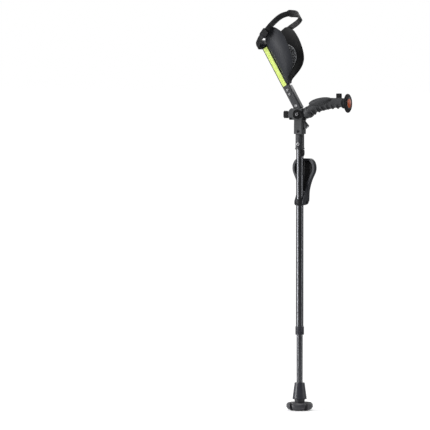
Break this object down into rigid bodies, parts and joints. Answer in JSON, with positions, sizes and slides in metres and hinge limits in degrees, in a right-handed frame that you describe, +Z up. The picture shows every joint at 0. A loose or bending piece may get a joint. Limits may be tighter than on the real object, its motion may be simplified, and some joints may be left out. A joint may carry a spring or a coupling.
{
  "type": "forearm crutch",
  "caption": "Adjustable forearm crutch: padded open cuff with strap, folding forearm section, moulded grip with horn and reflector, torch, fold-out knee rest and tilting rubber foot.",
  "frame": {"origin": "centre of the rubber foot's tread, on the ground", "axes": "+Z up along the straight shaft, +X forward along the handle, +Y across, the reflective strip being on the -Y side"},
  "size_m": [0.2973, 0.1282, 1.1915],
  "materials": {
    "tube_graphite": "satin anodised",
    "frame_graphite": "satin",
    "housing_grey": "fine grain",
    "moulded_black": "fine grain",
    "cuff_plastic": "satin",
    "control_black": "satin",
    "foot_rubber": "matt",
    "grip_rubber": "stippled",
    "mesh_fabric": "open spacer mesh",
    "pad_cover": "smooth",
    "strap_leather": "grained",
    "black_steel": "blackened",
    "bright_steel": "brushed",
    "strip_yellow": "reflective",
    "lens_red": "prismatic",
    "ring_grey": "satin",
    "lens_clear": "clear",
    "mirror_cup": "polished",
    "lamp_yellow": "gloss"
  },
  "bodies": {
    "shaft": {"main_tube": "tube_graphite", "collet": "moulded_black", "catch_clip": "moulded_black", "upper_sleeve": "frame_graphite", "sleeve_bolt": "black_steel", "housing_left": "housing_grey", "housing_right": "housing_grey", "housing_screws": "black_steel", "pivot_bolt": "bright_steel", "pivot_nut": "bright_steel", "pivot_washer": "bright_steel", "rosette_cover": "control_black", "lock_spring": "bright_steel", "torch_body": "housing_grey", "torch_reflector": "mirror_cup", "torch_led": "lamp_yellow", "torch_lens": "lens_clear", "torch_cell": "bright_steel", "handle_mount": "housing_grey", "knee_clamp_outer": "moulded_black", "knee_clamp_inner": "moulded_black", "knee_clamp_screws": "black_steel"},
    "lower_leg": {"lower_tube": "tube_graphite", "guide_bush": "moulded_black", "ferrule": "moulded_black", "ball_stud": "bright_steel"},
    "collar": {"lock_collar": "moulded_black"},
    "ankle_cup": {"ball_seat": "moulded_black"},
    "foot": {"foot_pad": "foot_rubber"},
    "forearm": {"forearm_tube": "frame_graphite", "forearm_knuckle": "frame_graphite", "forearm_screws": "black_steel", "cuff_spine": "frame_graphite", "reflector_strip": "strip_yellow", "cuff_shell": "cuff_plastic", "cuff_screws": "black_steel", "cuff_pad": "mesh_fabric", "strap": "strap_leather", "strap_rivets": "black_steel", "strap_return": "strap_leather", "strap_buckle": "control_black", "buckle_bar": "bright_steel", "strap_lug": "moulded_black"},
    "release": {"release_knob": "control_black", "lock_pin": "bright_steel"},
    "handle": {"handle_ring": "foot_rubber", "handle_bar": "tube_graphite", "grip": "grip_rubber", "end_hub": "moulded_black", "disc_screws": "black_steel", "reflector_ring": "ring_grey", "red_reflector": "lens_red", "horn_speaker": "bright_steel", "horn_cell": "bright_steel"},
    "horn_key": {"horn_button": "control_black"},
    "lamp_key": {"torch_switch": "control_black"},
    "knee_support": {"knee_rest": "cuff_plastic", "knee_pad": "pad_cover", "knee_pin": "black_steel"}
  },
  "joints": [
    {"name": "leg_slide", "type": "slide", "parent": "shaft", "child": "lower_leg", "axis": [0, 0, 1], "range_m": [-0.12, 0.12]},
    {"name": "lock_collar_turn", "type": "hinge", "parent": "shaft", "child": "collar", "pos_m": [0, 0, 0.238], "axis": [0, 0, 1], "range_deg": [0, 90]},
    {"name": "foot_pitch", "type": "hinge", "parent": "lower_leg", "child": "ankle_cup", "pos_m": [0, 0, 0.046], "axis": [0, 1, 0], "range_deg": [-10, 10], "stiffness_Nm_per_rad": 6},
    {"name": "foot_roll", "type": "hinge", "parent": "ankle_cup", "child": "foot", "pos_m": [0, 0, 0.046], "axis": [1, 0, 0], "range_deg": [-10, 10], "stiffness_Nm_per_rad": 6},
    {"name": "forearm_fold", "type": "hinge", "parent": "shaft", "child": "forearm", "pos_m": [0, 0, 0.882], "axis": [0, -1, 0], "range_deg": [0, 110]},
    {"name": "release_pull", "type": "slide", "parent": "shaft", "child": "release", "axis": [-1, 0, 0], "range_m": [0, 0.004], "stiffness_N_per_m": 900, "springref_m": -0.004},
    {"name": "grip_turn", "type": "hinge", "parent": "shaft", "child": "handle", "pos_m": [0.044, 0, 0.897], "axis": [0.866, 0, 0.5], "range_deg": [-15, 15]},
    {"name": "horn_press", "type": "slide", "parent": "handle", "child": "horn_key", "axis": [0.0175, 0, -0.9998], "range_m": [0, 0.0025], "stiffness_N_per_m": 800, "springref_m": -0.002},
    {"name": "lamp_press", "type": "slide", "parent": "shaft", "child": "lamp_key", "axis": [-1, 0, 0], "range_m": [0, 0.0012], "stiffness_N_per_m": 800, "springref_m": -0.002},
    {"name": "knee_rest_fold", "type": "hinge", "parent": "shaft", "child": "knee_support", "pos_m": [0.00401, 0.01497, 0.62], "axis": [-0.9659, 0.2588, 0], "range_deg": [0, 84]}
  ]
}
